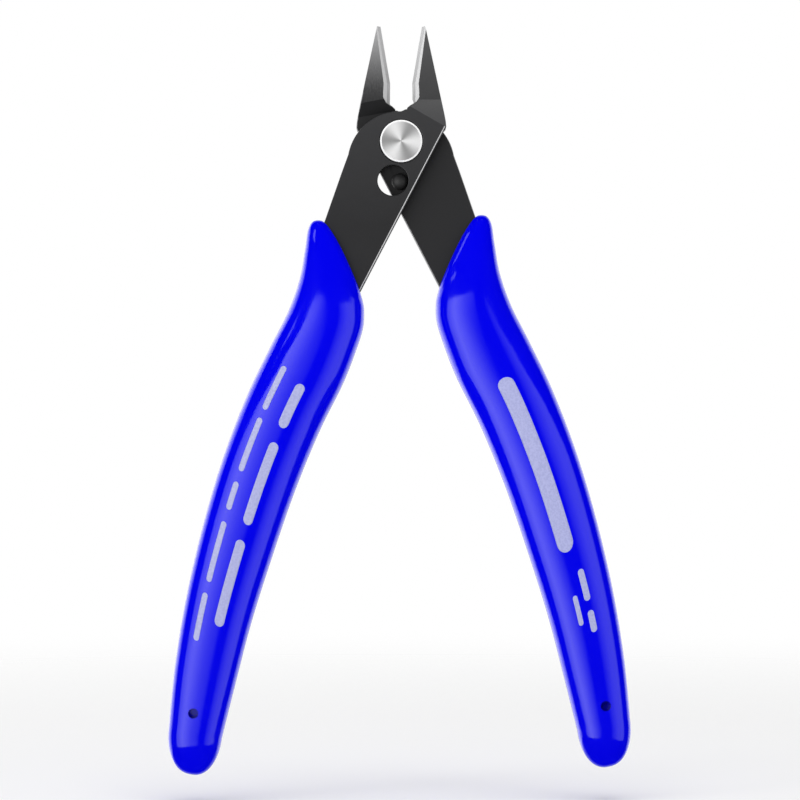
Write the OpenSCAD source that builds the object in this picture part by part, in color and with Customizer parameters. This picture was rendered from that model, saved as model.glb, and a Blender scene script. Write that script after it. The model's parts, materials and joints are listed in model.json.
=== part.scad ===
// Flush cutter for electronics work, hand held, with two moulded grips.
// Frame: +Z runs from the pivot to the jaw tips, +X is to the right seen from the front, the front faces -Y.
// The origin is on the pivot axis at the back face of the pivot nut. The tool stands open, as its spring holds it.
// All sizes are millimetres.

/* [Plates] */
// thickness of each lever plate
plate_t = 2.5; // [2.3:0.1:2.8]
// working gap between the two plates
plate_gap = 0.04; // [0.02:0.01:0.08]
// height of the jaw tips above the pivot axis
tip_z = 19.5; // [19:0.1:20]
// half of the gap between the open tips
tip_x = 3.48; // [3.47:0.01:3.6]
// width of each tip
tip_w = 0.56; // [0.4:0.02:0.6]
// jaw thickness left behind the ground front face at the tip
tip_t = 1.5; // [1.2:0.1:1.7]
// radius of the round shoulder of each boss
boss_r = 8.83; // [8.7:0.01:8.9]

/* [Cutting edges] */
// height of the lower end of the cutting edge
edge_low_z = 9.95; // [9.7:0.05:10.2]
// distance of the lower end of the cutting edge from the middle plane
edge_low_x = 1.86; // [1.84:0.01:2]
// width of the narrow ground facet that carries the edge
facet_w = 0.5; // [0.4:0.05:0.6]
// depth of that facet from the flush face
facet_d = 0.9; // [0.8:0.05:1]
// full width of both facets at the front face
bevel_w = 1.13; // [1:0.01:1.2]
// flat land left on the cutting edge
edge_land = 0.05; // [0.03:0.01:0.1]

/* [Pivot] */
// radius of the turned bolt head
head_r = 3.52; // [3.3:0.02:3.6]
// clear space round the bolt head
head_clear = 0.14; // [0.08:0.02:0.2]
// height of the bolt head above the front plate
head_proud = 0.35; // [0.2:0.05:0.5]
// depth of the recess that takes the bolt head
head_seat = 0.85; // [0.7:0.05:0.9]
// radius of the bearing shank
shank_r = 1.98; // [1.9:0.01:2]
// radial running clearance of the rear plate on the shank
run_clear = 0.03; // [0.02:0.01:0.08]
// radius of the threaded end, drawn plain
thread_r = 1.45; // [1.4:0.01:1.5]
// radius of the nut
nut_r = 3.3; // [3:0.05:3.4]
// thickness of the nut
nut_t = 1.2; // [1:0.05:1.4]
// radius of each spanner hole in the nut
spanner_r = 0.45; // [0.35:0.05:0.5]

/* [Return spring] */
// radius of the spring wire
wire_r = 0.21; // [0.18:0.01:0.21]
// radius of the coil's centre line
coil_r = 2.85; // [2.75:0.05:2.95]
// number of full turns
coil_turns = 2; // [2:1:2]
// radius of the pocket that holds the coil
pocket_r = 3.6; // [3.5:0.05:3.6]
// depth of the pocket in each plate
pocket_d = 0.8; // [0.78:0.01:0.82]

/* [Opening stop] */
// distance of the round window's centre from the pivot axis
window_d = 6.67; // [6.6:0.01:6.75]
// angle of the window's centre from straight down, towards the left
window_deg = 11.93; // [11.5:0.1:12.5]
// radius of the window
window_r = 2.58; // [2.55:0.01:2.65]
// full turn of the rear lever between its two stops
travel_deg = 20; // [20:0.1:20]
// clear space between the stop pin and the window at each stop
stop_clear = 0.035; // [0.03:0.005:0.06]
// radius of the pin where it is pressed in
pin_r = 1.1; // [1:0.05:1.1]
// height of the pin's round head
pin_h = 2; // [1.8:0.05:2.2]

/* [Grips] */
// half depth of the grip at its thickest place
grip_h = 4.85; // [4.6:0.05:5.1]
// how square the grip's section is
grip_square = 2.5; // [2.2:0.1:2.8]
// radius that rounds the grip's mouth
mouth_round = 0.9; // [0.7:0.1:1]
// outward curve of the grip's mouth
mouth_bulge = 0.75; // [0.5:0.05:0.9]
// how far that curve leans towards the lip
mouth_skew = 0.45; // [0.3:0.05:0.5]
// part of the grip's width taken by plastic on each side of the tang
wall_part = 0.23; // [0.2:0.01:0.25]
// clear space round the tang inside the grip
tang_clear = 0.04; // [0.03:0.01:0.06]
// radius of the mould pin hole
mould_r = 0.85; // [0.7:0.05:0.9]
// upward offset of the right grip on its tang
right_rise = 1; // [0.6:0.1:1]
// inward offset of the right grip on its tang
right_in = 0.4; // [0.2:0.1:0.5]

/* [Hidden] */
$fn = 72;
over = 0.5;
far = 40;
half_gap = plate_gap / 2;
jaw_half = plate_t / 2;
// Radial clearance where two pieces are fixed to each other.
fixed_clear = 0.02;
nut_clear = 0.05;
nut_y = plate_t + nut_clear;
back_y = nut_y + nut_t;
seat_y = -plate_t + head_seat;
head_y = -plate_t - head_proud;
head_chamfer = 0.22;
// Turning centre in the bolt head.
centre_r = 0.16;
centre_d = 0.08;
spanner_d = 0.7;

// Line across the front of each boss where the front ramp starts: distance from the pivot and direction.
front_ramp_d = 5.79;
front_ramp_deg = 60.1;
front_ramp_run = 3.7;
// Line behind each jaw where the rear ramp starts; the other boss turns just inside it.
back_ramp_d = 5.385;
back_ramp_deg = 79.5;
back_ramp_run = 2.195;
// Above that line each lever stays this far from the middle of the closed tool, so the two never meet there.
middle_clear = 0.03;
// Heights where the ground front face of the jaw starts and where it starts to thin; it starts with a shoulder.
ground_z = 7.05;
shoulder_rise = 1;
taper_z = 8.2;

// Boss shoulder arc: centre and the two ends, measured round the centre.
boss_c = [-0.17, -3.84];
boss_from = 88.9;
boss_to = 169.7;
boss_steps = 27;

// Outline of the jaw and boss on the inner side, from the tip down to the boss.
jaw_inner = [[tip_x, tip_z], [edge_low_x, edge_low_z], [1.9, 6.5], [1.53, 6.02], [0.7, 5.3]];
// Outline of the jaw on the outer side, from the shank's corner up to the tip.
jaw_outer = [[7.12, 1.68], [7.4, 1.95], [7.53, 2.45], [7.46, 3.37], [7.28, 4.38], [tip_x + tip_w, tip_z]];
// Straight edges of the shank.
shank_left = [[-9.9, -5.12], [-12.8, -13.4], [-15.05, -20]];
shank_right = [-6.95, -25.4];

// Outer and inner outline of the left grip, from the lip's crest round to the side and down to the round end,
// paired station by station.
grip_out = [[-13.55, -13.08], [-14.8, -13.4], [-15.62, -14.8], [-16.1, -18], [-17, -23], [-18.9, -28.4],
    [-21.97, -34.5], [-25.8, -42.5], [-29.7, -52.6], [-33.05, -63.7], [-35.95, -76], [-37.9, -87.8], [-38.9, -98]];
grip_in = [[-6.75, -25.6], [-6.62, -26.05], [-6.42, -26.75], [-6.2, -28.3], [-6.35, -31.1], [-7.4, -34.6],
    [-9.7, -40.5], [-13.7, -48.6], [-17.8, -58.6], [-21.6, -69.6], [-25.1, -80.7], [-27.95, -91.7], [-30, -99.9]];
// Half depth of the grip at the same stations, as parts of the largest half depth.
grip_depth = [0.56, 0.63, 0.7, 0.8, 0.92, 0.98, 1, 0.99, 0.95, 0.91, 0.87, 0.82, 0.76];
grip_end = [-0.9, -6.95];
mould_at = [-34.6, -95.4];
section_n = 32;
body_n = 27;
body_pace = 1.1;
dome_n = 7;
dome_power = 0.85;
dome_end = 84;
mouth_n = 4;
// Share of the grip's length that one millimetre of the mouth's rounding takes, and the part of it taken sideways.
mouth_u = 0.1;
mouth_side = 0.35;
mouth_fade = 0.3;

// The window and the pin ride on one circle about the pivot.
window_at = window_d * [-sin(window_deg), -cos(window_deg)];
pin_deg = window_deg - travel_deg / 2;
pin_at = window_d * [-sin(pin_deg), -cos(pin_deg)];
pin_head_r = window_r - 2 * window_d * sin(travel_deg / 4) - stop_clear;
dome_from = 1;
dome_steps = 12;

coil_half = 0.45;
bend_r = 0.35;
leg_y = 1.35;
leg_r = 0.3;
leg_room = 0.05;
leg_from = 40;
bend_turn = bend_r / coil_r * 180 / PI;
leg_to = leg_from + 2 * bend_turn;
coil_steps = 40;
wire_n = 10;

blue = [0.01, 0.01, 0.86];
black_steel = [0.17, 0.17, 0.18];
bright_steel = [0.78, 0.78, 0.8];
spring_steel = [0.5, 0.5, 0.52];

// Smooth curve through a list of points, u from 0 to 1.
function curve_bit(a, b, c, d, t) =
    0.5 * (2 * b + (c - a) * t + (2 * a - 5 * b + 4 * c - d) * t * t + (3 * b - a - 3 * c + d) * t * t * t);
function curve(p, u) =
    let (n = len(p) - 1, i = min(floor(u * n), n - 1))
    curve_bit(p[max(i - 1, 0)], p[i], p[i + 1], p[min(i + 2, n)], u * n - i);

// One side of the tang inside the grip, station by station, part = how far across the grip it lies.
function tang_at(i, part) = grip_out[i] * (1 - part) + grip_in[i] * part;
tang_from = 4;
function tang_side(part) = [for (i = [tang_from : len(grip_out) - 1]) tang_at(i, part)];
function backward(p) = [for (i = [len(p) - 1 : -1 : 0]) p[i]];

// Outline of one lever seen from the front: jaw to the upper right, tang to the lower left.
function boss_arc() = [for (i = [0 : boss_steps])
    let (a = boss_from + (boss_to - boss_from) * i / boss_steps) boss_c + boss_r * [cos(a), sin(a)]];
lever_outline = concat(jaw_inner, boss_arc(), shank_left, tang_side(wall_part),
    backward(tang_side(1 - wall_part)), [shank_right], jaw_outer);

// Turns a drawing in X and Z into a plate from y0 to y1.
module plate(y0, y1) {
    translate([0, y1, 0])
        rotate([90, 0, 0])
            linear_extrude(y1 - y0)
                children();
}

// Turns a drawing of radius and Y into a round solid about the pivot's direction, at [x, z].
module turned(at) {
    translate([at[0], 0, at[1]])
        rotate([-90, 0, 0])
            rotate_extrude()
                children();
}

// A long bar whose section is drawn as [distance from the pivot, y], facing the direction deg.
module ramp_bar(deg) {
    rotate([0, -deg, 0])
        translate([0, 0, -far])
            linear_extrude(2 * far)
                children();
}

// The blank that both levers are made from.
module lever_blank() {
    difference() {
        plate(-plate_t, jaw_half)
            polygon(lever_outline);
        ramp_bar(front_ramp_deg)
            polygon([[front_ramp_d - over, -plate_t - over], [front_ramp_d - over, -plate_t],
                [front_ramp_d, -plate_t], [front_ramp_d + front_ramp_run, -jaw_half],
                [far, -jaw_half], [far, -plate_t - over]]);
        translate([-far, 0, 0])
            rotate([90, 0, 90])
                linear_extrude(2 * far)
                    polygon([[-jaw_half, ground_z], [-jaw_half, far], [-plate_t - over, far],
                        [-plate_t - over, ground_z - shoulder_rise * (plate_t + over - jaw_half)]]);
        ramp_bar(back_ramp_deg)
            polygon([[-3 * far, -half_gap], [back_ramp_d, -half_gap],
                [back_ramp_d + back_ramp_run, jaw_half], [back_ramp_d + back_ramp_run, jaw_half + over],
                [-3 * far, jaw_half + over]]);
        plate(-plate_t - over, jaw_half + over)
            rotate(-travel_deg / 2)
                translate([middle_clear - far, back_ramp_d - half_gap])
                    square(far);
    }
}

// Section of the ground bevels, x = distance from the cutting edge, y = depth.
bevel_rise = (plate_t - facet_d) / (bevel_w - facet_w);
facet_rise = (facet_d - edge_land) / facet_w;
bevel_section = [[-over, jaw_half - edge_land + over * facet_rise], [facet_w, jaw_half - facet_d],
    [bevel_w + over, -jaw_half - over * bevel_rise], [-over, -jaw_half - over * bevel_rise]];
edge_deg = atan2(tip_x - edge_low_x, tip_z - edge_low_z);
heel_deg = atan2(edge_low_x - jaw_inner[2][0], edge_low_z - jaw_inner[2][1]);
heel_cut = 10;
// Where the grinding of the heel, below the straight part of the cutting edge, takes metal off.
heel_zone = [[0.9, 5.54], [1.53, 6.02], [2.49, 6.62], [2.85, 7.15], [3.6, 8.6], [3.6, edge_low_z],
    [3.2, edge_low_z + over], [0, edge_low_z + over], [0, 5.5]];
// How far the thinning of the jaw runs on past the tip.
past_tip = [0.1, 1];

// What grinding takes off the right-hand jaw: the thinning of its front and the two bevels.
module jaw_grind() {
    tip_y = jaw_half - tip_t;
    translate([-over, 0, 0])
        rotate([90, 0, 90])
            linear_extrude(far)
                polygon([[-jaw_half, taper_z], [tip_y, tip_z], [tip_y + past_tip[0], tip_z + past_tip[1]],
                    [-plate_t - over, tip_z + past_tip[1]], [-plate_t - over, taper_z], [-jaw_half - over, taper_z]]);
    translate([edge_low_x, 0, edge_low_z])
        rotate([0, edge_deg, 0])
            linear_extrude(heel_cut + over)
                polygon(bevel_section);
    intersection() {
        translate([edge_low_x, 0, edge_low_z])
            rotate([0, heel_deg, 0])
                translate([0, 0, -heel_cut])
                    linear_extrude(heel_cut + over)
                        polygon(bevel_section);
        plate(-2 * plate_t, plate_t)
            polygon(heel_zone);
    }
}

module front_lever_metal() {
    difference() {
        lever_blank();
        jaw_grind();
        turned([0, 0])
            translate([0, -far])
                square([shank_r + fixed_clear, 2 * far]);
        turned([0, 0])
            translate([0, seat_y - far])
                square([head_r + head_clear, far]);
        turned([0, 0])
            translate([0, -half_gap - pocket_d])
                square([pocket_r, far]);
        turned(window_at)
            translate([0, -far])
                square([window_r, 2 * far]);
        turned(coil_r * [cos(leg_from), sin(leg_from)])
            translate([0, -leg_y - leg_room])
                square([leg_r, far]);
    }
}

module rear_lever_metal() {
    difference() {
        rotate([0, 0, 180])
            lever_blank();
        mirror([1, 0, 0])
            jaw_grind();
        turned([0, 0])
            translate([0, -far])
                square([shank_r + run_clear, 2 * far]);
        turned([0, 0])
            translate([0, half_gap + pocket_d - far])
                square([pocket_r, far]);
        turned(pin_at)
            translate([0, -far])
                square([pin_r + fixed_clear, 2 * far]);
        turned(coil_r * [cos(leg_to), sin(leg_to)])
            translate([0, leg_y + leg_room - far])
                square([leg_r, far]);
    }
}

// The grip's rings. Every point has a place across the grip, w from -1 at the outer side to 1 at the inner side,
// and a height, h from -1 at the front to 1 at the back.
function square_cos(a) = sign(cos(a)) * pow(abs(cos(a)), 2 / grip_square);
function section_point(mid, across, half_w, half_h, bulge, w, h) =
    let (up = [-across[1], across[0]], arch = sqrt(max(0, 1 - w * w)) * (1 - mouth_skew * w),
        p = mid + across * half_w * w + up * bulge * arch)
    [p[0], half_h * h, p[1]];
// One ring at u along the grip, drawn in by inset.
function ring(u, inset) =
    let (a = curve(grip_out, u), b = curve(grip_in, u), fade = max(0, 1 - u / mouth_fade))
    [for (i = [0 : section_n - 1]) let (g = 360 * i / section_n)
        section_point((a + b) / 2, (b - a) / norm(b - a), norm(b - a) / 2 - mouth_side * inset,
            grip_h * curve(grip_depth, u) - inset, mouth_bulge * fade * fade, square_cos(g), square_cos(g - 90))];
function dome_ring(t) =
    let (a = grip_out[len(grip_out) - 1], b = grip_in[len(grip_in) - 1], small = pow(cos(t), dome_power))
    [for (i = [0 : section_n - 1]) let (g = 360 * i / section_n)
        section_point((a + b) / 2 + grip_end * sin(t), (b - a) / norm(b - a), norm(b - a) / 2 * small,
            grip_h * grip_depth[len(grip_depth) - 1] * small, 0, square_cos(g), square_cos(g - 90))];

module grip_skin() {
    first_u = mouth_u * mouth_round;
    mouth = [for (i = [0 : mouth_n - 1]) let (t = 90 * i / mouth_n)
        ring(first_u * (1 - cos(t)), mouth_round * (1 - sin(t)))];
    body = [for (i = [0 : body_n]) ring(first_u + (1 - first_u) * pow(i / body_n, body_pace), 0)];
    dome = [for (i = [1 : dome_n]) dome_ring(dome_end * i / dome_n)];
    rings = concat(mouth, body, dome);
    n = len(rings);
    points = [for (r = rings) each r];
    sides = [for (j = [0 : n - 2], i = [0 : section_n - 1])
        let (k = (i + 1) % section_n, a = j * section_n + i, b = j * section_n + k)
        each [[a, b, a + section_n], [b, b + section_n, a + section_n]]];
    cap_top = [[for (i = [section_n - 1 : -1 : 0]) i]];
    cap_end = [[for (i = [0 : section_n - 1]) (n - 1) * section_n + i]];
    polyhedron(points = points, faces = concat(sides, cap_top, cap_end), convexity = 6);
}

// The hollow that the tang fills.
module tang_hollow() {
    plate(-plate_t - tang_clear, -half_gap + tang_clear)
        offset(delta = tang_clear)
            polygon(lever_outline);
}

module front_lever() {
    color(black_steel)
        translate([0, -back_y, 0])
            front_lever_metal();
}

module rear_lever() {
    color(black_steel)
        translate([0, -back_y, 0])
            rear_lever_metal();
}

module pivot_bolt() {
    color(bright_steel)
        translate([0, -back_y, 0])
            turned([0, 0])
                polygon([[0, head_y + centre_d], [centre_r, head_y], [head_r - head_chamfer, head_y],
                    [head_r, head_y + head_chamfer], [head_r, seat_y], [shank_r, seat_y], [shank_r, nut_y],
                    [thread_r, nut_y], [thread_r, back_y], [0, back_y]]);
}

module pivot_nut() {
    color(bright_steel)
        translate([0, -back_y, 0])
            difference() {
                turned([0, 0])
                    polygon([[thread_r + fixed_clear, nut_y], [nut_r, nut_y], [nut_r, back_y - head_chamfer],
                        [nut_r - head_chamfer, back_y], [thread_r + fixed_clear, back_y]]);
                for (side = [-1, 1])
                    turned([side * (thread_r + nut_r) / 2, 0])
                        translate([0, back_y - spanner_d])
                            square([spanner_r, far]);
            }
}

// Spring path: a leg along Y, a bend, the turns, a bend and the other leg. Each stop is [angle, y, tilt].
function spring_path() = concat(
    [[leg_from, -leg_y, 0]],
    [for (t = [0 : 18 : 90]) [leg_from + bend_turn * (1 - cos(t)), -coil_half - bend_r + bend_r * sin(t), t]],
    [for (i = [1 : coil_steps * coil_turns - 1]) let (f = i / (coil_steps * coil_turns))
        [leg_from + bend_turn + 360 * coil_turns * f, -coil_half + 2 * coil_half * f, 90]],
    [for (t = [90 : -18 : 0])
        [leg_to + 360 * coil_turns - bend_turn * (1 - cos(t)), coil_half + bend_r - bend_r * sin(t), t]],
    [[leg_to + 360 * coil_turns, leg_y, 0]]);
function wire_ring(stop) = let (c = cos(stop[0]), s = sin(stop[0]))
    [for (i = [0 : wire_n - 1])
        let (a = 360 * i / wire_n, out = wire_r * cos(a), side = wire_r * sin(a) * cos(stop[2]))
        [(coil_r + out) * c - side * s, stop[1] - wire_r * sin(a) * sin(stop[2]), (coil_r + out) * s + side * c]];

module return_spring() {
    rings = [for (p = spring_path()) wire_ring(p)];
    n = len(rings);
    points = [for (r = rings) each r];
    sides = [for (j = [0 : n - 2], i = [0 : wire_n - 1])
        let (k = (i + 1) % wire_n, a = j * wire_n + i, b = j * wire_n + k)
        each [[a, b, a + wire_n], [b, b + wire_n, a + wire_n]]];
    cap_a = [[for (i = [wire_n - 1 : -1 : 0]) i]];
    cap_b = [[for (i = [0 : wire_n - 1]) (n - 1) * wire_n + i]];
    color(spring_steel)
        translate([0, -back_y, 0])
            polyhedron(points = points, faces = concat(sides, cap_a, cap_b), convexity = 8);
}

module stop_pin() {
    color(black_steel)
        translate([0, -back_y, 0])
            turned(pin_at)
                polygon(concat(
                    [for (i = [0 : dome_steps]) let (a = 90 * i / dome_steps)
                        [pin_head_r * sin(a), -dome_from - (pin_h - dome_from) * cos(a)]],
                    [[pin_head_r, half_gap], [pin_r, half_gap], [pin_r, plate_t], [0, plate_t]]));
}

module left_grip() {
    color(blue)
        translate([0, -back_y, 0])
            difference() {
                translate([0, -jaw_half, 0])
                    grip_skin();
                tang_hollow();
                turned(mould_at)
                    translate([0, -plate_t - far])
                        square([mould_r, far]);
            }
}

module right_grip() {
    color(blue)
        translate([0, -back_y, 0])
            difference() {
                translate([-right_in, jaw_half, right_rise])
                    mirror([1, 0, 0])
                        grip_skin();
                rotate([0, 0, 180])
                    tang_hollow();
                turned([-mould_at[0] - right_in, mould_at[1] + right_rise])
                    translate([0, half_gap - far])
                        square([mould_r, far]);
            }
}

front_lever();
rear_lever();
pivot_bolt();
pivot_nut();
return_spring();
stop_pin();
left_grip();
right_grip();
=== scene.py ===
import json
import math

import bmesh
import bpy
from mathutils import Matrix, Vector

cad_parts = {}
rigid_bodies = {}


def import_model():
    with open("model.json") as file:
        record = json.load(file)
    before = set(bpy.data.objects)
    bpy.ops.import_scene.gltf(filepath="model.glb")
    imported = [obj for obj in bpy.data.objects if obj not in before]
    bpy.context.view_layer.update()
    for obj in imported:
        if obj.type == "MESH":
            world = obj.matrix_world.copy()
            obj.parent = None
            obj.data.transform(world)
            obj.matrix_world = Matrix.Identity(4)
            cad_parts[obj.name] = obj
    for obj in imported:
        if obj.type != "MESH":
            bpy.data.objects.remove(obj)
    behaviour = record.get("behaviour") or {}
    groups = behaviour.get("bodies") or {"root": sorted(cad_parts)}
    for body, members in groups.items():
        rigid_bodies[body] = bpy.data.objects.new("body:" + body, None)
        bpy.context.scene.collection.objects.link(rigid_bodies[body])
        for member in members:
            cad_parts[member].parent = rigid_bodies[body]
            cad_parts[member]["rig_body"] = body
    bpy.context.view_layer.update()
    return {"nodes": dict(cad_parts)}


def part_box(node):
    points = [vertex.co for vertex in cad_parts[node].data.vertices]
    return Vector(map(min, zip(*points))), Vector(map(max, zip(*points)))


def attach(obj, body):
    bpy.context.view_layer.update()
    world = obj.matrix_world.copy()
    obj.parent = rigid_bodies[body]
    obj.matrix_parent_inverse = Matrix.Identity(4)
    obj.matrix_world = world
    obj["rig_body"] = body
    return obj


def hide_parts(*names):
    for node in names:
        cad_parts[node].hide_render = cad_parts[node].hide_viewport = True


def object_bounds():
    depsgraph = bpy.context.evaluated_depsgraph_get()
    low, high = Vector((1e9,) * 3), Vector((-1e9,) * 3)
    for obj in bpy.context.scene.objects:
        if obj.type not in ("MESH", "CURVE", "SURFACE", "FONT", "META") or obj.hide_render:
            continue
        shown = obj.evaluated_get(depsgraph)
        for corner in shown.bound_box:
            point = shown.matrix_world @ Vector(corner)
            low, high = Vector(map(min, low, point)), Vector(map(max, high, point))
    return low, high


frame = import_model()
NODES = frame["nodes"]
MM = 0.001


# ---------------------------------------------------------------- node helpers
def new_material(name):
    m = bpy.data.materials.new(name)
    m.use_nodes = True
    m.node_tree.nodes.clear()
    out = m.node_tree.nodes.new("ShaderNodeOutputMaterial")
    bsdf = m.node_tree.nodes.new("ShaderNodeBsdfPrincipled")
    m.node_tree.links.new(bsdf.outputs[0], out.inputs[0])
    return m, m.node_tree, bsdf


def link(tree, a, b):
    tree.links.new(a, b)


def position(tree, scale=(1.0, 1.0, 1.0)):
    """The point in the frame at rest, in millimetres, stretched by scale."""
    co = tree.nodes.new("ShaderNodeTexCoord")
    mp = tree.nodes.new("ShaderNodeMapping")
    mp.inputs["Scale"].default_value = [s / MM for s in scale]
    link(tree, co.outputs["Object"], mp.inputs["Vector"])
    return mp.outputs[0]


def height_of(tree):
    """The point's height in the frame at rest, in millimetres."""
    sep = tree.nodes.new("ShaderNodeSeparateXYZ")
    link(tree, position(tree), sep.inputs[0])
    return sep.outputs["Z"]


def noise(tree, vector, scale, detail, rough):
    n = tree.nodes.new("ShaderNodeTexNoise")
    n.inputs["Scale"].default_value = scale
    n.inputs["Detail"].default_value = detail
    n.inputs["Roughness"].default_value = rough
    link(tree, vector, n.inputs["Vector"])
    return n.outputs[0]


def ramp(tree, value, start, stop, low=0.0, high=1.0):
    """value taken from start to stop and stretched to run from low to high, held at both ends."""
    r = tree.nodes.new("ShaderNodeMapRange")
    for key, number in (("From Min", start), ("From Max", stop), ("To Min", low), ("To Max", high)):
        r.inputs[key].default_value = number
    link(tree, value, r.inputs["Value"])
    return r.outputs["Result"]


def spread(tree, value, low, high):
    """The usual values of a noise, 0.3 to 0.7, stretched to run from low to high."""
    return ramp(tree, value, 0.3, 0.7, low, high)


def mix_colour(tree, factor, a, b):
    m = tree.nodes.new("ShaderNodeMix")
    m.data_type = "RGBA"
    m.inputs["A"].default_value = (*a, 1)
    m.inputs["B"].default_value = (*b, 1)
    link(tree, factor, m.inputs["Factor"])
    return m.outputs["Result"]


def math_node(tree, op, a, b=None):
    n = tree.nodes.new("ShaderNodeMath")
    n.operation = op
    for i, x in enumerate((a, b)):
        if x is None:
            continue
        if isinstance(x, (int, float)):
            n.inputs[i].default_value = x
        else:
            link(tree, x, n.inputs[i])
    return n.outputs[0]


def bump(tree, bsdf, height, strength, distance):
    b = tree.nodes.new("ShaderNodeBump")
    b.inputs["Strength"].default_value = strength
    b.inputs["Distance"].default_value = distance
    link(tree, height, b.inputs["Height"])
    link(tree, b.outputs[0], bsdf.inputs["Normal"])


def grey(value, blue=1.0):
    """A grey whose blue part is blue times the others."""
    return value, value, blue * value


# ---------------------------------------------------------------- materials
# Heights in the frame's Z, in millimetres, between which a painted gradient of light and shade changes.
PIVOT_Z = (-14.0, 4.0)
BEVEL_Z = (7.0, 18.0)
# How deep the relief of a surface is.
LINE_DEPTH, RING_DEPTH, PEEL_DEPTH = 0.02 * MM, 0.01 * MM, 0.05 * MM
# Rings on a turned face, in radians to the millimetre, and the turn of its pale sectors.
RINGS, FAN_TURN = 40.0, math.radians(12)
BLUE_LOW, BLUE_HIGH = 0.76, 0.79
INK_LOW, INK_HIGH = (0.36, 0.38, 0.66), (0.44, 0.46, 0.74)


def black_oxide(name, low, high, roughness, gloss):
    """Satin black-oxide steel, faintly cloudy, with a fine grain up the plate.
    Its colour carries a painted gradient of light: low on the shank, high by the pivot."""
    m, t, b = new_material(name)
    cloud = noise(t, position(t), 0.35, 4.0, 0.6)
    grain = noise(t, position(t, (3.0, 3.0, 0.25)), 2.5, 2.0, 0.5)
    shade = math_node(t, "ADD", ramp(t, height_of(t), *PIVOT_Z), spread(t, cloud, -0.06, 0.06))
    link(t, mix_colour(t, shade, grey(low, 1.05), grey(high, 1.05)), b.inputs["Base Color"])
    b.inputs["Metallic"].default_value = 0.2
    link(t, spread(t, grain, roughness - 0.04, roughness + 0.05), b.inputs["Roughness"])
    b.inputs["Specular IOR Level"].default_value = gloss
    bump(t, b, grain, 0.08, LINE_DEPTH)
    return m


def ground_jaw(name, root, tip, z_root, z_tip):
    """Ground and darkened jaw face: grinding lines along the jaw, and a painted gradient of light, darker at the
    root and brighter towards the tip.
    """
    m, t, b = new_material(name)
    lines = noise(t, position(t, (9.0, 9.0, 0.12)), 2.2, 3.0, 0.65)
    up = math_node(t, "POWER", ramp(t, height_of(t), z_root, z_tip), 1.6)
    shade = math_node(t, "ADD", up, ramp(t, lines, 0.35, 0.65, -0.07, 0.07))
    link(t, mix_colour(t, shade, grey(root, 1.03), grey(tip, 1.01)), b.inputs["Base Color"])
    b.inputs["Metallic"].default_value = 0.2
    link(t, spread(t, lines, 0.36, 0.46), b.inputs["Roughness"])
    b.inputs["Specular IOR Level"].default_value = 0.3
    bump(t, b, lines, 0.12, LINE_DEPTH)
    return m


def bright_steel(name, base, roughness, stretch, metallic=1.0, tip=None):
    """Pale steel with fine lines, used for bare steel and for painted highlights; tip is the paler shade that it
    reaches at the jaw's tip, a painted gradient of light.
    """
    m, t, b = new_material(name)
    lines = noise(t, position(t, stretch), 2.0, 3.0, 0.6)
    up = ramp(t, height_of(t), *BEVEL_Z) if tip else 0.5
    shade = math_node(t, "ADD", up, spread(t, lines, -0.12, 0.12))
    link(t, mix_colour(t, shade, base, tip or tuple(0.9 * c for c in base)), b.inputs["Base Color"])
    b.inputs["Metallic"].default_value = metallic
    link(t, spread(t, lines, roughness - 0.05, roughness + 0.06), b.inputs["Roughness"])
    bump(t, b, lines, 0.12, LINE_DEPTH)
    return m


def turned_steel(name, low, high, roughness, metallic, sectors):
    """Lathe-turned face: fine rings about the pivot's axis and broad pale sectors, as light makes on them."""
    m, t, b = new_material(name)
    sep = t.nodes.new("ShaderNodeSeparateXYZ")
    link(t, position(t), sep.inputs[0])
    squares = [math_node(t, "POWER", sep.outputs[axis], 2.0) for axis in "XZ"]
    radius = math_node(t, "SQRT", math_node(t, "ADD", *squares))
    rings = math_node(t, "SINE", math_node(t, "MULTIPLY", radius, RINGS))
    uneven = noise(t, radius, 9.0, 2.0, 0.6)
    height = math_node(t, "ADD", rings, math_node(t, "MULTIPLY", uneven, 2.0))
    angle = math_node(t, "ARCTAN2", sep.outputs["Z"], sep.outputs["X"])
    fan = math_node(t, "COSINE", math_node(t, "ADD", math_node(t, "MULTIPLY", angle, sectors), FAN_TURN))
    shade = math_node(t, "ADD", ramp(t, fan, -1.0, 1.0), spread(t, uneven, -0.05, 0.05))
    link(t, mix_colour(t, shade, grey(low), grey(high)), b.inputs["Base Color"])
    b.inputs["Metallic"].default_value = metallic
    b.inputs["Roughness"].default_value = roughness
    bump(t, b, height, 0.05, RING_DEPTH)
    return m


def grip_plastic(name):
    """Glossy moulded plastic with a faint orange-peel surface."""
    m, t, b = new_material(name)
    peel = noise(t, position(t), 0.9, 2.0, 0.5)
    cloud = noise(t, position(t), 0.12, 3.0, 0.5)
    link(t, mix_colour(t, cloud, (0.0, 0.0, BLUE_LOW), (0.0, 0.0, BLUE_HIGH)), b.inputs["Base Color"])
    link(t, spread(t, cloud, 0.07, 0.10), b.inputs["Roughness"])
    b.inputs["Specular IOR Level"].default_value = 0.5
    bump(t, b, peel, 0.03, PEEL_DEPTH)
    return m


def print_ink(name):
    """Pad-printed ink: a pale film with uneven wear."""
    m, t, b = new_material(name)
    wear_and_highlight = noise(t, position(t), 3.0, 4.0, 0.6)
    link(t, mix_colour(t, ramp(t, wear_and_highlight, 0.4, 0.6), INK_LOW, INK_HIGH), b.inputs["Base Color"])
    b.inputs["Roughness"].default_value = 0.35
    bump(t, b, wear_and_highlight, 0.05, LINE_DEPTH)
    return m


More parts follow.
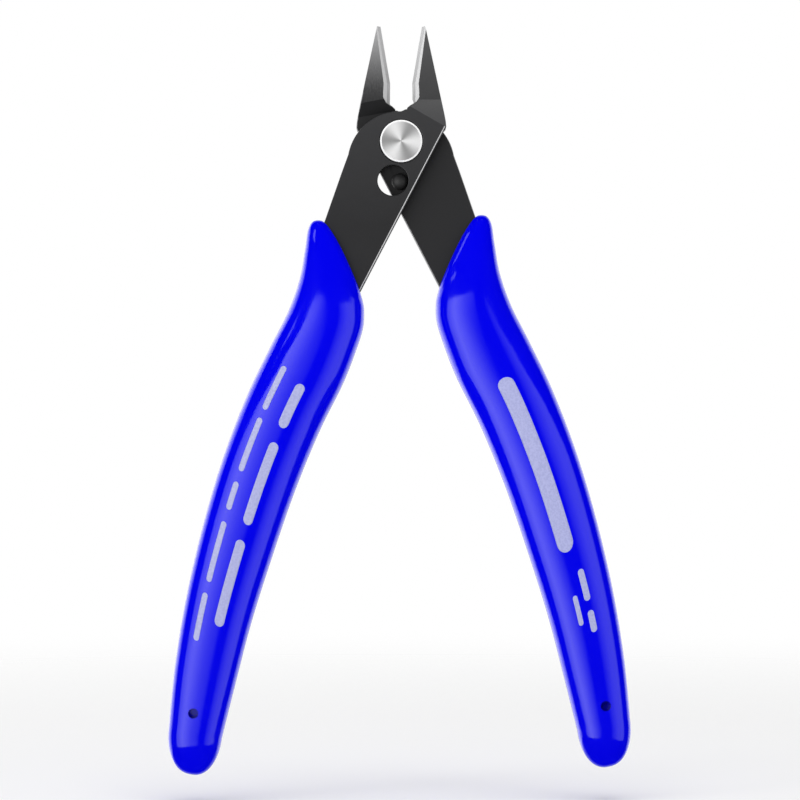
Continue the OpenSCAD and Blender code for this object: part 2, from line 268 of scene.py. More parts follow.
EVEN_GRAIN, EDGE_GRAIN, WIRE_GRAIN = (2.0, 2.0, 2.0), (5.0, 5.0, 0.6), (3.0, 3.0, 3.0)
# Only the front plate's black is painted lighter by the pivot and darker on the shank, a painted gradient of
# light.
front_black = black_oxide("front_black_oxide", low=0.0255, high=0.043, roughness=0.36, gloss=0.3)
rear_black = black_oxide("rear_black_oxide", low=0.0255, high=0.0255, roughness=0.38, gloss=0.3)
pin_black = black_oxide("pin_black_oxide", low=0.014, high=0.014, roughness=0.54, gloss=1.0)
# The jaw faces are painted darker at the root and lighter towards the tip, a painted gradient of light.
jaw_left = ground_jaw("left_jaw_ground", root=0.033, tip=0.43, z_root=6.5, z_tip=18.5)
jaw_right = ground_jaw("right_jaw_ground", root=0.058, tip=0.108, z_root=6.5, z_tip=19.0)
# The front lever's upward-facing ramp is painted paler than its plate, painted light from above; the rear
# lever's ramp keeps the plate's black.
lit_ramp_right = ground_jaw("right_ramp_painted_light", root=0.08, tip=0.115, z_root=2.0, z_tip=8.0)
# Pale steels that stand for light on the levers' edges: a painted highlight line along the front shank's
# straight edge, and softer painted highlights on the broken edges.
highlight_line = bright_steel("painted_highlight_line_steel", (0.70, 0.70, 0.71), 0.34, EVEN_GRAIN, metallic=0.3)
soft_highlight = bright_steel("painted_highlight_edge_steel", (0.20, 0.20, 0.205), 0.34, EVEN_GRAIN, metallic=0.6)
# The jaws' ground edge facets: those facing more to the side are painted paler, a painted highlight, and the
# inner ones grow paler towards the tip, a painted gradient of light.
facet_outer = bright_steel("ground_edge_outer", (0.48, 0.48, 0.485), 0.34, EDGE_GRAIN, metallic=0.2)
facet_inner = bright_steel("ground_edge_inner", (0.33, 0.33, 0.333), 0.38, EDGE_GRAIN, metallic=0.1,
                           tip=(0.46, 0.46, 0.465))
turned = turned_steel("turned_steel", low=0.335, high=0.885, roughness=0.38, metallic=0.3, sectors=3.0)
# The bolt head's chamfer is painted near white, a painted highlight.
turned_edge = turned_steel("turned_chamfer_steel", low=0.95, high=0.97, roughness=0.4, metallic=0.0,
                           sectors=0.0)
wire_steel = bright_steel("spring_wire", (0.45, 0.45, 0.47), 0.30, WIRE_GRAIN)
blue = grip_plastic("blue_grip_plastic")
ink = print_ink("pale_print_ink")

# ---------------------------------------------------------------- mesh helpers
LEVER_SHARP, TURNED_SHARP, GRIP_SHARP = math.radians(32), math.radians(28), math.radians(38)
WELD = 0.002 * MM


def make_object(name, mesh, materials):
    o = bpy.data.objects.new(name, mesh)
    bpy.context.scene.collection.objects.link(o)
    for m in materials:
        mesh.materials.append(m)
    return o


def mesh_from(bm, name):
    mesh = bpy.data.meshes.new(name)
    bm.to_mesh(mesh)
    bm.free()
    return mesh


def stand_in(o, node):
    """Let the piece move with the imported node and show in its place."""
    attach(o, NODES[node]["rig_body"])
    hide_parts(node)


def smooth_by_angle(bm, angle, flat_area=None):
    """Smooth shading up to an angle. Faces over flat_area keep their own normal, so that no rounding
    bleeds into them."""
    for f in bm.faces:
        f.smooth = flat_area is None or f.calc_area() < flat_area
    for e in bm.edges:
        if len(e.link_faces) == 2:
            e.smooth = e.calc_face_angle(0.0) < angle


def apply_modifiers(o):
    dg = bpy.context.evaluated_depsgraph_get()
    me = bpy.data.meshes.new_from_object(o.evaluated_get(dg))
    o.modifiers.clear()
    old = o.data
    o.data = me
    bpy.data.meshes.remove(old)


# ---------------------------------------------------------------- levers
# Heights on the jaw: where it starts, where its flat front starts, and where it is too thin to have its edges
# broken.
JAW_FROM, JAW_FRONT_FROM, TIP_FROM = 5.6 * MM, 7 * MM, 17.2 * MM
# Heights between which the front lever's upward-facing ramp is painted paler, as painted light.
RAMP_FROM, RAMP_TO = 3 * MM, 8 * MM
# On the front lever, the right-facing broken edges above this height keep a painted highlight.
HIGHLIGHT_FROM = 1.5 * MM
# How far each jaw stands out from the inner face of its own plate, across the middle of the tool.
JAW_STEP = 1.27 * MM
EDGE_ROUND = 0.13 * MM
TINY_EDGE = 0.3 * MM
BEND = math.radians(50)
FLATTEN = math.radians(0.6)
# Faces over FLAT_AREA are shaded flat. Those inside the jaw that are under THIN_AREA belong to its cutting edge.
FLAT_AREA, THIN_AREA = 4 * MM * MM, 0.9 * MM * MM
# How far in from the front lever's straight edge the painted highlight line reaches, and how wide the strip of
# painted shade outside it is.
LINE_IN, LINE_OUT = 0.30 * MM, 0.15 * MM
NEAR = 0.01 * MM
BLACK, SOFT_SLOT, OUTER_SLOT, INNER_SLOT, JAW_SLOT, RAMP_SLOT, LINE_SLOT, DARK_SLOT = range(8)
# The straight edge of the front lever's shank, from the jaw's corner to the grip, and the direction out of it.
SHANK_TOP, SHANK_FOOT = Vector((7.12 * MM, 0, 1.68 * MM)), Vector((-6.95 * MM, 0, -25.4 * MM))
SHANK_ALONG = (SHANK_FOOT - SHANK_TOP).normalized()
SHANK_OUT = Vector((-SHANK_ALONG.z, 0, SHANK_ALONG.x))


def depth_in(p):
    """How far a point lies inside the straight edge."""
    return (SHANK_TOP - p).dot(SHANK_OUT)


def paint_highlight_line(bm):
    """A painted highlight line just inside the front lever's straight edge, with a dark strip of painted shade
    outside it.
    """
    front_y = min(v.co.y for v in bm.verts)

    def in_front(f):
        return f.normal.y < -0.999 and abs(f.calc_center_median().y - front_y) < NEAR

    for d in (LINE_IN, LINE_OUT):
        geom = list(dict.fromkeys(g for f in bm.faces if in_front(f) for g in [f, *f.edges, *f.verts]))
        bmesh.ops.bisect_plane(bm, geom=geom, dist=1e-7, plane_co=SHANK_TOP - SHANK_OUT * d,
                               plane_no=SHANK_OUT)
    for f in bm.faces:
        d = depth_in(f.calc_center_median())
        if in_front(f) and d < LINE_IN:
            f.material_index = LINE_SLOT if d > LINE_OUT else DARK_SLOT


def paint_faces(bm, side):
    """Give the jaw's faces their slots, and return those that lie at the cutting edge."""
    edge_faces = set()
    for f in bm.faces:
        n = f.normal
        z = f.calc_center_median().z
        inward = -n.x * side
        facet = z > JAW_FROM and inward > 0.5 and -0.72 < n.y < -0.2
        thin = z > JAW_FROM and inward > 0.9 and f.calc_area() < THIN_AREA
        if facet or thin:
            edge_faces.add(f)
            # Facets facing more to the side take the paler outer steel, a painted highlight.
            f.material_index = OUTER_SLOT if facet and n.y > -0.43 else INNER_SLOT
        elif n.y < -0.97 and z > JAW_FRONT_FROM:
            f.material_index = JAW_SLOT
        # Upward-facing ramp faces of the front lever: painted light.
        elif side > 0 and -0.99 < n.y < -0.5 and n.z > 0 and RAMP_FROM < z < RAMP_TO:
            f.material_index = RAMP_SLOT
    return edge_faces


def is_crisp(e, edge_faces, side):
    """An edge to break: a real corner, clear of the cutting edge, the thin tip and the painted highlight line.
    """
    if len(e.link_faces) != 2 or e.calc_length() < TINY_EDGE or any(f in edge_faces for f in e.link_faces):
        return False
    middle = (e.verts[0].co + e.verts[1].co) / 2
    in_front = middle.y < -1 * MM and min(f.normal.y for f in e.link_faces) < -0.9
    on_highlight_line = side > 0 and in_front and abs(depth_in(middle)) < NEAR / 3
    return e.calc_face_angle(0.0) > BEND and max(v.co.z for v in e.verts) < TIP_FROM and not on_highlight_line


def lever(node, name, side, materials):
    """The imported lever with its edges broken; side is +1 for a jaw on the right."""
    bm = bmesh.new()
    bm.from_mesh(NODES[node].data)
    bmesh.ops.remove_doubles(bm, verts=bm.verts, dist=WELD)
    bmesh.ops.dissolve_limit(bm, angle_limit=FLATTEN, verts=bm.verts, edges=bm.edges)
    bm.normal_update()
    for f in bm.faces:
        f.material_index = BLACK
    edge_faces = paint_faces(bm, side)
    crisp = [e for e in bm.edges if is_crisp(e, edge_faces, side)]
    # Broken edges get pale steel, a painted highlight along them.
    bmesh.ops.bevel(bm, geom=crisp, offset=EDGE_ROUND, segments=2, profile=0.6, affect="EDGES",
                    clamp_overlap=False, material=SOFT_SLOT, loop_slide=True)
    bm.normal_update()
    # On the front lever only the right-facing broken edges above the pivot keep it, painted highlights where
    # light from the right falls; the others go back to black.
    if side > 0:
        for f in bm.faces:
            wear_and_highlight = f.normal.x > 0.3 and f.calc_center_median().z > HIGHLIGHT_FROM
            if f.material_index == SOFT_SLOT and not wear_and_highlight:
                f.material_index = BLACK
        paint_highlight_line(bm)
        bm.normal_update()
    smooth_by_angle(bm, LEVER_SHARP, FLAT_AREA)
    stand_in(make_object(name, mesh_from(bm, name), materials), node)


# The front lever's last slot lends the pin's black to a strip of painted shade outside its highlight line.
lever("front_lever", "front_lever_steel", 1,
      [front_black, soft_highlight, facet_outer, facet_inner, jaw_right, lit_ramp_right, highlight_line, pin_black])
lever("rear_lever", "rear_lever_steel", -1, [rear_black, soft_highlight, facet_outer, facet_inner, jaw_left])

# ---------------------------------------------------------------- turned parts
TURN_STEPS = 192


def lathe(name, profile, at, materials, node, edge_from=None):
    """A round solid about the Y direction at (x, z); profile is a list of (radius, y) from front to back.
    Faces outside the radius edge_from take the second material."""
    bm = bmesh.new()
    rows = []
    for r, y in profile:
        if r == 0:
            rows.append([bm.verts.new((at[0], y, at[1]))])
        else:
            rows.append([bm.verts.new((at[0] + r * math.cos(a), y, at[1] + r * math.sin(a)))
                         for a in (2 * math.pi * i / TURN_STEPS for i in range(TURN_STEPS))])
    for p, q in zip(rows, rows[1:]):
        for i in range(TURN_STEPS):
            k = (i + 1) % TURN_STEPS
            corners = dict.fromkeys([p[i % len(p)], p[k % len(p)], q[k % len(q)], q[i % len(q)]])
            if len(corners) > 2:
                bm.faces.new(list(corners))
    bmesh.ops.recalc_face_normals(bm, faces=bm.faces)
    smooth_by_angle(bm, TURNED_SHARP)
    if edge_from:
        for f in bm.faces:
            if min(math.hypot(v.co.x - at[0], v.co.z - at[1]) for v in f.verts) > edge_from:
                f.material_index = 1
    stand_in(make_object(name, mesh_from(bm, name), materials), node)


def arc(r, y, radius, start, stop, steps):
    """Points (radius, y) on a round corner with its centre at (r, y)."""
    angles = [math.radians(start + (stop - start) * i / steps) for i in range(steps + 1)]
    return [(r + radius * math.cos(a), y + radius * math.sin(a)) for a in angles]


bolt_low, bolt_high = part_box("pivot_bolt")
pin_low, pin_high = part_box("stop_pin")
front_low, front_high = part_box("front_lever")
rear_low, rear_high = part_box("rear_lever")
nut_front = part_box("pivot_nut")[0].y

# The bolt: a slightly dished head with a centre mark and a chamfered rim, seated in the front plate.
SEAT_DEPTH = 0.85 * MM
SHANK_R, THREAD_R, THREAD_CHAMFER = 1.98 * MM, 1.45 * MM, 0.08 * MM
DISH = 0.02 * MM
CENTRE_MARK = [(0, 0.06 * MM), (0.10 * MM, 0.05 * MM), (0.2 * MM, DISH)]
RIM, RIM_ROUND, RIM_DROP = 0.26 * MM, 0.06 * MM, 0.20 * MM
CHAMFER_FOOT = (0.05 * MM, 0.15 * MM)
head_r = (bolt_high.x - bolt_low.x) / 2
seat_y = front_low.y + SEAT_DEPTH
bolt_profile = ([(r, bolt_low.y + d) for r, d in CENTRE_MARK]
                + [(head_r * s, bolt_low.y + DISH * (1 - s)) for s in (0.1, 0.3, 0.5, 0.7, 0.85)]
                + [(head_r - RIM, bolt_low.y), (head_r - CHAMFER_FOOT[0], bolt_low.y + CHAMFER_FOOT[1])]
                + arc(head_r - RIM_ROUND, bolt_low.y + RIM_DROP, RIM_ROUND, -60, 0, 4)
                + [(head_r, seat_y), (SHANK_R, seat_y), (SHANK_R, nut_front), (THREAD_R, nut_front),
                   (THREAD_R, bolt_high.y - THREAD_CHAMFER), (THREAD_R - THREAD_CHAMFER, bolt_high.y),
                   (0, bolt_high.y)])
# Its chamfered rim takes the near-white steel, a painted highlight.
lathe("pivot_bolt_turned", bolt_profile, (0, 0), [turned, turned_edge], "pivot_bolt",
      head_r - RIM - NEAR)

# The stop pin: a domed head in front of the rear plate and a shank through it.
PIN_DOME, PIN_SHANK_R, PIN_CHAMFER = 1.0 * MM, 1.1 * MM, 0.05 * MM
pin_at = ((pin_low.x + pin_high.x) / 2, (pin_low.z + pin_high.z) / 2)
pin_r = (pin_high.x - pin_low.x) / 2
pin_side = pin_low.y + PIN_DOME
plate_y = rear_low.y + JAW_STEP
pin_dome = [(pin_r * math.sin(math.radians(a)), pin_side - PIN_DOME * math.cos(math.radians(a)))
            for a in range(0, 91, 5)]
pin_profile = pin_dome + [(pin_r, plate_y), (PIN_SHANK_R, plate_y), (PIN_SHANK_R, pin_high.y - PIN_CHAMFER),
                          (PIN_SHANK_R - PIN_CHAMFER, pin_high.y), (0, pin_high.y)]
lathe("stop_pin_domed", pin_profile, pin_at, [pin_black], "stop_pin")

# The nut and the spring show as packed. The nut's edges are broken.
NUT_EDGE, NUT_SHARP = 0.04 * MM, math.radians(30)
nut, spring = NODES["pivot_nut"], NODES["return_spring"]
for o, material, slot_name in ((nut, turned, "turned_steel"), (spring, wire_steel, "spring_steel")):
    o.data.materials.clear()
    o.data.materials.append(material)
    for p in o.data.polygons:
        p.use_smooth = True
weld = nut.modifiers.new("weld", "WELD")
weld.merge_threshold = WELD
edge = nut.modifiers.new("edge", "BEVEL")
edge.width = NUT_EDGE
edge.segments = 2
edge.limit_method = "ANGLE"
edge.angle_limit = NUT_SHARP

# ---------------------------------------------------------------- grips
# Paired stations of the left grip's outline, from the lip's crest to its end, in millimetres in X and Z.
GRIP_OUT = [(-13.55, -13.08), (-14.8, -13.4), (-15.62, -14.8), (-16.1, -18), (-17, -23), (-18.9, -28.4),
            (-21.97, -34.5), (-25.8, -42.5), (-29.7, -52.6), (-33.05, -63.7), (-35.95, -76), (-37.9, -87.8),
            (-38.9, -98)]
GRIP_IN = [(-6.75, -25.6), (-6.62, -26.05), (-6.42, -26.75), (-6.2, -28.3), (-6.35, -31.1), (-7.4, -34.6),
           (-9.7, -40.5), (-13.7, -48.6), (-17.8, -58.6), (-21.6, -69.6), (-25.1, -80.7), (-27.95, -91.7),
           (-30, -99.9)]
# Half the grip's thickness at each station, as a share of its greatest, which is GRIP_H millimetres.
GRIP_DEPTH = [0.56, 0.63, 0.7, 0.8, 0.92, 0.98, 1, 0.99, 0.95, 0.91, 0.87, 0.82, 0.76]
GRIP_H = 4.85
# How far the rounded end reaches beyond the last station, how far round it is drawn and how it narrows.
GRIP_END, END_ANGLE, END_POWER = (-0.9, -6.95), 88.5, 0.85
# The section is a superellipse of this power.
SQUARE = 2.5
# The lip: its rounding and its bulge towards the jaws, in millimetres, how far the bulge leans outwards, how far
# the rounding goes along the grip and to its sides, and where on the grip the bulge has faded out.
MOUTH_ROUND, MOUTH_BULGE, MOUTH_SKEW, MOUTH_U, MOUTH_SIDE, MOUTH_FADE = 0.9, 0.75, 0.45, 0.1, 0.35, 0.3
# The right grip is the left one mirrored, set this far in and up.
RIGHT_IN, RIGHT_RISE = 0.4, 1.0
MOULD_AT, MOULD_R, MOULD_STEPS = (-34.6, -95.4), 0.85, 48
# The outline of the left grip's slot for the shank, and its room on each face of the plate.
SHANK_SLOT = [(-9.9, -5.1), (-12.8, -13.4), (-15.05, -20), (-14.6, -25), (-12.2, -28.5), (-9.0, -28.8),
              (-6.95, -25.4), (3.5, -5.1)]
SLOT_ROOM = 0.04 * MM
PAST_GRIP = 5 * MM
# Steps round the section, along the grip, over its end and round its mouth. Those along it are finer near
# the mouth.
AROUND, ALONG, DOME, MOUTH = 128, 160, 22, 10
ALONG_POWER = 1.1


def spline(p, u):
    """The smooth curve through evenly spaced numbers or points p, at u from 0 to 1."""
    n = len(p) - 1
    i = min(int(math.floor(u * n)), n - 1)
    t = u * n - i
    q = [p[max(i - 1, 0)], p[i], p[i + 1], p[min(i + 2, n)]]

    def bit(a, b, c, d):
        return 0.5 * (2 * b + (c - a) * t + (2 * a - 5 * b + 4 * c - d) * t * t
                      + (3 * b - a - 3 * c + d) * t ** 3)

    if isinstance(p[0], tuple):
        return Vector([bit(*[k[j] for k in q]) for j in (0, 1)])
    return bit(*q)


def section(u, inset=0.0):
    """Middle, across, up, half width, half height and bulge of the grip at u."""
    a, b = spline(GRIP_OUT, u), spline(GRIP_IN, u)
    across = (b - a).normalized()
    fade = max(0.0, 1 - u / MOUTH_FADE)
    return ((a + b) / 2, across, Vector((-across.y, across.x)), (b - a).length / 2 - MOUTH_SIDE * inset,
            GRIP_H * spline(GRIP_DEPTH, u) - inset, MOUTH_BULGE * fade * fade)


def section_point(s, w, h):
    """The point of a section at w across and h through, each from -1 to 1."""
    mid, across, up, half_w, half_h, bulge = s
    p = mid + across * (half_w * w) + up * (bulge * math.sqrt(max(0.0, 1 - w * w)) * (1 - MOUTH_SKEW * w))
    return Vector((p.x, half_h * h, p.y))


def section_ring(s):
    ring = []
    for i in range(AROUND):
        a = 2 * math.pi * i / AROUND
        w, h = (math.copysign(abs(c) ** (2 / SQUARE), c) for c in (math.cos(a), math.sin(a)))
        ring.append(section_point(s, w, h))
    return ring


def grip_rings():
    """The grip's sections from the inside of its mouth, over its lip and along to its rounded end."""
    rings = []
    first = MOUTH_U * MOUTH_ROUND
    for i in range(MOUTH):
        t = math.pi / 2 * i / MOUTH
        rings.append(section_ring(section(first * (1 - math.cos(t)), MOUTH_ROUND * (1 - math.sin(t)))))
    for i in range(ALONG + 1):
        rings.append(section_ring(section(first + (1 - first) * (i / ALONG) ** ALONG_POWER)))
    mid, across, up, half_w, half_h, _ = section(1.0)
    for i in range(1, DOME + 1):
        t = math.radians(END_ANGLE) * i / DOME
        small = math.cos(t) ** END_POWER
        rings.append(section_ring((mid + Vector(GRIP_END) * math.sin(t), across, up, half_w * small,
                                   half_h * small, 0.0)))
    return rings


def place(p, side, y):
    """From the left grip's own millimetres into the frame, in metres, for either side."""
    if side > 0:
        p = Vector((-p.x - RIGHT_IN, p.y, p.z + RIGHT_RISE))
    return Vector(p) * MM + Vector((0, y, 0))


def prism(name, outline, y0, y1):
    """A straight-sided solid between y0 and y1 over an outline of (x, z)."""
    bm = bmesh.new()
    near = [bm.verts.new((x, y0, z)) for x, z in outline]
    far = [bm.verts.new((x, y1, z)) for x, z in outline]
    bm.faces.new(near)
    bm.faces.new(list(reversed(far)))
    for i in range(len(outline)):
        k = (i + 1) % len(outline)
        bm.faces.new([near[k], near[i], far[i], far[k]])
    bmesh.ops.recalc_face_normals(bm, faces=bm.faces)
    return make_object(name, mesh_from(bm, name), [])


def cut(o, cutter):
    m = o.modifiers.new("cut", "BOOLEAN")
    m.operation = "DIFFERENCE"
    m.solver = "EXACT"
    m.object = cutter
    apply_modifiers(o)
    bpy.data.objects.remove(cutter)


def grip(node, name, side):
    """The moulded sleeve of one side, cut out for its shank and its mould pin.
    Returns the Y of its middle plane."""
    low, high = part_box(node)
    y = (low.y + high.y) / 2
    plate_front = plate_y if side > 0 else front_low.y
    plate_back = rear_high.y if side > 0 else front_high.y - JAW_STEP
    bm = bmesh.new()
    rings = [[bm.verts.new(place(p, side, y)) for p in r] for r in grip_rings()]
    for r, s in zip(rings, rings[1:]):
        for i in range(AROUND):
            k = (i + 1) % AROUND
            bm.faces.new([r[i], r[k], s[k], s[i]])
    bm.faces.new(list(reversed(rings[0])))
    bm.faces.new(rings[-1])
    bmesh.ops.recalc_face_normals(bm, faces=bm.faces)
    o = make_object(name, mesh_from(bm, name), [blue])
    cut(o, prism("shank_cutter", [(-side * x * MM, z * MM) for x, z in SHANK_SLOT],
                 plate_front - SLOT_ROOM, plate_back + SLOT_ROOM))
    mould = place(Vector((MOULD_AT[0], 0, MOULD_AT[1])), side, 0)
    circle = [(mould.x + MOULD_R * MM * math.cos(a), mould.z + MOULD_R * MM * math.sin(a))
              for a in (2 * math.pi * i / MOULD_STEPS for i in range(MOULD_STEPS))]
    cut(o, prism("mould_cutter", circle, low.y - PAST_GRIP, plate_front))
    bm = bmesh.new()
    bm.from_mesh(o.data)
    smooth_by_angle(bm, GRIP_SHARP)
    bm.to_mesh(o.data)
    bm.free()
    stand_in(o, node)
    return y


left_y = grip("left_grip", "left_grip_moulding", -1)
right_y = grip("right_grip", "right_grip_moulding", 1)

# ---------------------------------------------------------------- generic print on the grips
# How far the print stands off the grip, in millimetres, its film's thickness, and its steps along and across.
PRINT_LIFT, FILM, PRINT_COLS, PRINT_ROWS = 0.035, 0.03 * MM, 40, 8
# The least width of a bar at its rounded end, as a share of the bar's width.
BAR_END = 0.02
HALVINGS = 40


def station_at(z):
    """The u at which the grip's middle line is at the height z."""
    first, last = 0.0, 1.0
    for _ in range(HALVINGS):
        u = (first + last) / 2
        if section(u)[0].y > z:
            first = u
        else:
            last = u
    return (first + last) / 2


def print_bars(name, side, y, bars, body):
    """Each bar is (z at its top, z at its foot, place across the grip, half width), with rounded ends."""
    bm = bmesh.new()
    for top, foot, v, half in bars:
        u0, u1 = station_at(top), station_at(foot)
        grid = []
        for i in range(PRINT_COLS + 1):
            t = (1 - math.cos(math.pi * i / PRINT_COLS)) / 2
            s = section(u0 + (u1 - u0) * t)
            near = min(t, 1 - t) * (top - foot)
            round_off = 1.0 if near >= half else math.sqrt(max(0.0, 1 - (1 - near / half) ** 2))
            reach = max(BAR_END, round_off) * half / s[3]
            row = []
            for j in range(PRINT_ROWS + 1):
                w = v + reach * (2 * j / PRINT_ROWS - 1)
                h = -((1 - abs(w) ** SQUARE) ** (1 / SQUARE)) - PRINT_LIFT / s[4]
                row.append(bm.verts.new(place(section_point(s, w, h), side, y)))
            grid.append(row)
        for a, b in zip(grid, grid[1:]):
            for j in range(PRINT_ROWS):
                bm.faces.new([a[j], a[j + 1], b[j + 1], b[j]])
    for f in bm.faces:
        f.normal_update()
        if f.normal.y > 0:
            f.normal_flip()
        f.smooth = True
    o = make_object(name, mesh_from(bm, name), [ink])
    thick = o.modifiers.new("film", "SOLIDIFY")
    thick.thickness = FILM
    thick.offset = -1
    apply_modifiers(o)
    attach(o, body)


LEFT_BARS = [(-40.3, -47.5, 0.12, 0.85), (-50.0, -63.6, 0.12, 0.85), (-66.2, -80.6, 0.12, 0.85),
             (-39.0, -46.2, -0.45, 0.5), (-47.6, -56.4, -0.45, 0.5), (-58.2, -62.8, -0.45, 0.5),
             (-64.8, -74.6, -0.45, 0.5), (-76.4, -84.2, -0.45, 0.5)]
RIGHT_BARS = [(-40.6, -69.6, 0.0, 1.45), (-73.0, -78.2, -0.2, 0.55), (-79.8, -83.4, -0.2, 0.55),
              (-76.6, -81.6, 0.14, 0.42)]
print_bars("left_grip_print", -1, left_y, LEFT_BARS, NODES["left_grip"]["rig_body"])
print_bars("right_grip_print", 1, right_y, RIGHT_BARS, NODES["right_grip"]["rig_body"])

# ---------------------------------------------------------------- stage
low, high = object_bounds()
centre = (low + high) / 2
# The floor's half side, and the distances from its middle between which it fades out, in metres.
FLOOR_REACH, FLOOR_CLEAR, FLOOR_FADE = 0.5, 0.10, 0.42
FLOOR_WHITE = 0.95


def floor_material():
    """Matt and pale, fading out to the backdrop."""
    m, t, b = new_material("pale_floor")
    b.inputs["Base Color"].default_value = (FLOOR_WHITE, FLOOR_WHITE, FLOOR_WHITE, 1)
    b.inputs["Roughness"].default_value = 1.0
    b.inputs["Specular IOR Level"].default_value = 0.0
    point = t.nodes.new("ShaderNodeTexCoord")
    flat = t.nodes.new("ShaderNodeVectorMath")
    flat.operation = "MULTIPLY"
    flat.inputs[1].default_value = (1, 1, 0)
    link(t, point.outputs["Object"], flat.inputs[0])
    reach = t.nodes.new("ShaderNodeVectorMath")
    reach.operation = "LENGTH"
    link(t, flat.outputs[0], reach.inputs[0])
    fade = t.nodes.new("ShaderNodeMapRange")
    fade.interpolation_type = "SMOOTHSTEP"
    fade.inputs["From Min"].default_value = FLOOR_CLEAR
    fade.inputs["From Max"].default_value = FLOOR_FADE
    link(t, reach.outputs["Value"], fade.inputs["Value"])
    clear = t.nodes.new("ShaderNodeBsdfTransparent")
    blend = t.nodes.new("ShaderNodeMixShader")
    link(t, fade.outputs["Result"], blend.inputs["Fac"])
    link(t, b.outputs[0], blend.inputs[1])
    link(t, clear.outputs[0], blend.inputs[2])
    link(t, blend.outputs[0], t.nodes["Material Output"].inputs[0])
    return m


# The rear half swings lower as the tool closes, so the floor lies below all that its grip can reach.
rear_grip = NODES["right_grip"]
grip_points = [rear_grip.matrix_world @ v.co for v in rear_grip.data.vertices]
swing = max(Vector((p.x, p.z)).length for p in grip_points)
floor_mesh = bpy.data.meshes.new("floor")
corners = [(FLOOR_REACH * x, FLOOR_REACH * y, -swing) for x, y in ((-1, -1), (1, -1), (1, 1), (-1, 1))]
floor_mesh.from_pydata(corners, [], [(0, 1, 2, 3)])
floor = make_object("floor", floor_mesh, [floor_material()])
floor.visible_glossy = False

# White to the camera and bright to the matt surfaces. To the shiny ones it is dark on the camera's side, so
# that only the boxes show in them, and pale behind the object, which lights their rims.
BACKDROP, ROOM, SHEEN, RIM_GLOW = 1.0, 0.55, 0.01, 0.8
RIM_FROM, RIM_TO = 0.25, 0.75


def studio_world():
    world = bpy.data.worlds.new("studio")
    bpy.context.scene.world = world
    world.use_nodes = True
    world.cycles.sampling_method = "NONE"
    t = world.node_tree
    t.nodes.clear()
    out = t.nodes.new("ShaderNodeOutputWorld")
    back = t.nodes.new("ShaderNodeBackground")
    path = t.nodes.new("ShaderNodeLightPath")
    point = t.nodes.new("ShaderNodeTexCoord")
    away = t.nodes.new("ShaderNodeSeparateXYZ")
    link(t, point.outputs["Camera"], away.inputs[0])
    rim = t.nodes.new("ShaderNodeMapRange")
    rim.interpolation_type = "SMOOTHSTEP"
    for key, value in (("From Min", RIM_FROM), ("From Max", RIM_TO), ("To Min", SHEEN - ROOM),
                       ("To Max", RIM_GLOW - ROOM)):
        rim.inputs[key].default_value = value
    link(t, away.outputs["Z"], rim.inputs["Value"])
    shiny = math_node(t, "MULTIPLY", path.outputs["Is Glossy Ray"], rim.outputs["Result"])
    seen = math_node(t, "MULTIPLY", path.outputs["Is Camera Ray"], BACKDROP - ROOM)
    strength = math_node(t, "ADD", math_node(t, "ADD", ROOM, shiny), seen)
    back.inputs["Color"].default_value = (1, 1, 1, 1)
    link(t, strength, back.inputs["Strength"])
    link(t, back.outputs[0], out.inputs[0])


studio_world()

BOX_AT = 0.9


def area_light(name, at, target, width, height, peak):
    """A soft rectangle that faces the target with the given radiance. Returns the object."""
    data = bpy.data.lights.new(name, "AREA")
    data.shape = "RECTANGLE"
    data.size = width
    data.size_y = height
    data.energy = 4 * peak * width * height
    o = bpy.data.objects.new(name, data)
    bpy.context.scene.collection.objects.link(o)
    o.location = at
    o.rotation_mode = "QUATERNION"
    o.rotation_quaternion = (o.location - target).to_track_quat("Z", "Y")
    return o


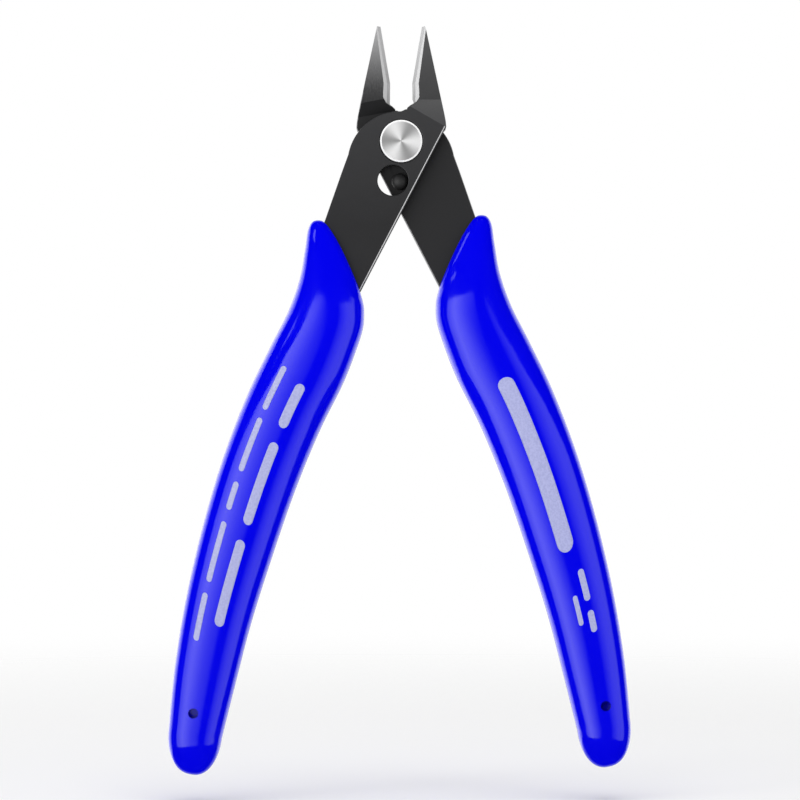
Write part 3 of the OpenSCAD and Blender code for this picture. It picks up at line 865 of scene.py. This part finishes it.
def softbox(name, foot, head, peak, glow):
    """An upright soft light round the object. glow gives azimuths, 0 being the camera's side, and the share
    of the peak radiance at each."""
    first, last = glow[0][0], glow[-1][0]
    middle, half = math.radians((first + last) / 2), math.radians((last - first) / 2)
    target = Vector((centre.x, centre.y, (head + foot) / 2))
    at = target + Vector((math.sin(middle), -math.cos(middle), 0)) * BOX_AT
    data = area_light(name, at, target, 2 * BOX_AT * math.tan(half), head - foot, peak).data
    data.use_nodes = True
    tree = data.node_tree
    geometry = tree.nodes.new("ShaderNodeNewGeometry")
    across = tree.nodes.new("ShaderNodeSeparateXYZ")
    link(tree, geometry.outputs["Parametric"], across.inputs[0])
    profile = tree.nodes.new("ShaderNodeValToRGB")
    link(tree, across.outputs["X"], profile.inputs[0])
    elements = profile.color_ramp.elements
    elements.remove(elements[1])
    for k, (azimuth, share) in enumerate(glow):
        place_at = 0.5 + math.tan(math.radians(azimuth) - middle) / (2 * math.tan(half))
        element = elements[0] if k == 0 else elements.new(place_at)
        element.position = place_at
        element.color = (share, share, share, 1)
    link(tree, profile.outputs["Color"], tree.nodes["Emission"].inputs["Strength"])


softbox("left_box", -0.45, 0.22, 2.1,
        ((-64, 0), (-58, 0.5), (-50, 0.62), (-34, 1), (-20, 0.7), (-9, 0.36), (2, 0)))
softbox("left_leaf_box", 0.36, 0.80, 1.5, ((-66, 0), (-60, 1), (-48, 1), (-44, 0)))
softbox("right_box", -0.45, 0.22, 0.9, ((16, 0), (25, 0.4), (40, 0.9), (60, 1), (68, 0.9), (76, 0)))
softbox("back_left_box", -0.45, 0.42, 1.2, ((-168, 0), (-150, 1), (-112, 1), (-100, 0)))
softbox("back_right_box", -0.45, 0.42, 0.6, ((112, 0), (122, 1), (150, 1), (168, 0)))
# The light from above shows only in the matt surfaces.
TOP_AT, TOP_WIDTH, TOP_LENGTH, TOP_PEAK = Vector((0, -0.25, 0.9)), 0.8, 0.5, 2.0
area_light("top_box", centre + TOP_AT, centre, TOP_WIDTH, TOP_LENGTH, TOP_PEAK).visible_glossy = False

# ---------------------------------------------------------------- camera
# The tool fills this share of a square picture's height, seen straight from the front through a long lens.
FILL, LENS, SENSOR = 0.935, 150, 36
cam_data = bpy.data.cameras.new("camera")
cam_data.lens = LENS
cam_data.sensor_width = SENSOR
cam_data.clip_start = 0.01
cam_data.clip_end = 20
camera = bpy.data.objects.new("camera", cam_data)
bpy.context.scene.collection.objects.link(camera)
distance = (high.z - low.z) / FILL * LENS / SENSOR
camera.location = Vector((centre.x, centre.y - distance, centre.z))
camera.rotation_euler = (math.pi / 2, 0, 0)
bpy.context.scene.camera = camera
bpy.context.scene.view_settings.view_transform = "Standard"
